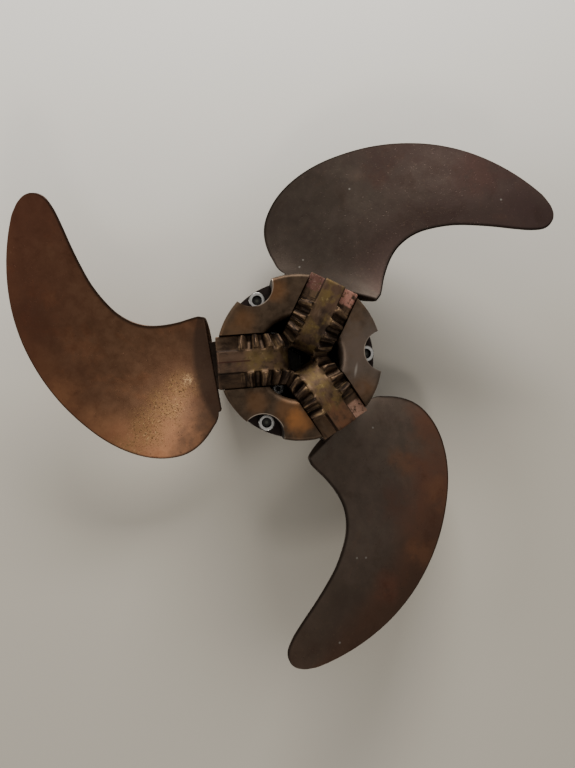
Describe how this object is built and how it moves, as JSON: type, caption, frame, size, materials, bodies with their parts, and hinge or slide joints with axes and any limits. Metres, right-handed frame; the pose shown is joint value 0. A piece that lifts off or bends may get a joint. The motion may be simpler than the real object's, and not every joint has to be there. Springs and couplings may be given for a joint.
{
  "type": "folding ship propeller",
  "caption": "Left-handed folding boat propeller: bronze blades on geared roots, pinned in the slots of a round hub with a drive flange.",
  "frame": {"origin": "on the shaft axis, at the middle of the volume, 26 mm forward of the plane of the three hinge pins", "axes": "+Z along the shaft, pointing aft; -X along blade 1"},
  "size_m": [0.4213, 0.4042, 0.1065],
  "materials": {
    "blade_bronze": "dark patina over smooth cast bronze",
    "hub_bronze": "tarnished machined bronze",
    "flange_bronze": "tarnished turned bronze",
    "black_rubber": "dull moulded rubber",
    "stainless_steel": "bright machined"
  },
  "bodies": {
    "hub": {"hub_body": "hub_bronze", "drive_flange": "flange_bronze", "rubber_bush": "black_rubber", "splined_sleeve": "flange_bronze", "hinge_pin_1": "stainless_steel", "pin_plug_1": "stainless_steel", "outer_cap_screw_1": "stainless_steel", "inner_cap_screw_1": "stainless_steel", "hinge_pin_2": "stainless_steel", "pin_plug_2": "stainless_steel", "outer_cap_screw_2": "stainless_steel", "inner_cap_screw_2": "stainless_steel", "hinge_pin_3": "stainless_steel", "pin_plug_3": "stainless_steel", "outer_cap_screw_3": "stainless_steel", "inner_cap_screw_3": "stainless_steel"},
    "blade_1": {"blade_1": "blade_bronze"},
    "blade_2": {"blade_2": "blade_bronze"},
    "blade_3": {"blade_3": "blade_bronze"}
  },
  "joints": [
    {"name": "blade_1_fold", "type": "hinge", "parent": "hub", "child": "blade_1", "pos_m": [-0.033, 0, 0.026], "axis": [0, 1, 0], "range_deg": [0, 84]},
    {"name": "blade_2_fold", "type": "hinge", "parent": "hub", "child": "blade_2", "pos_m": [0.0165, 0.02858, 0.026], "axis": [0.866, -0.5, 0], "range_deg": [0, 84]},
    {"name": "blade_3_fold", "type": "hinge", "parent": "hub", "child": "blade_3", "pos_m": [0.0165, -0.02858, 0.026], "axis": [-0.866, -0.5, 0], "range_deg": [0, 84]}
  ],
  "couplings": [
    {"joint": "blade_2_fold", "follows": "blade_1_fold", "ratio": 1},
    {"joint": "blade_3_fold", "follows": "blade_1_fold", "ratio": 1}
  ]
}
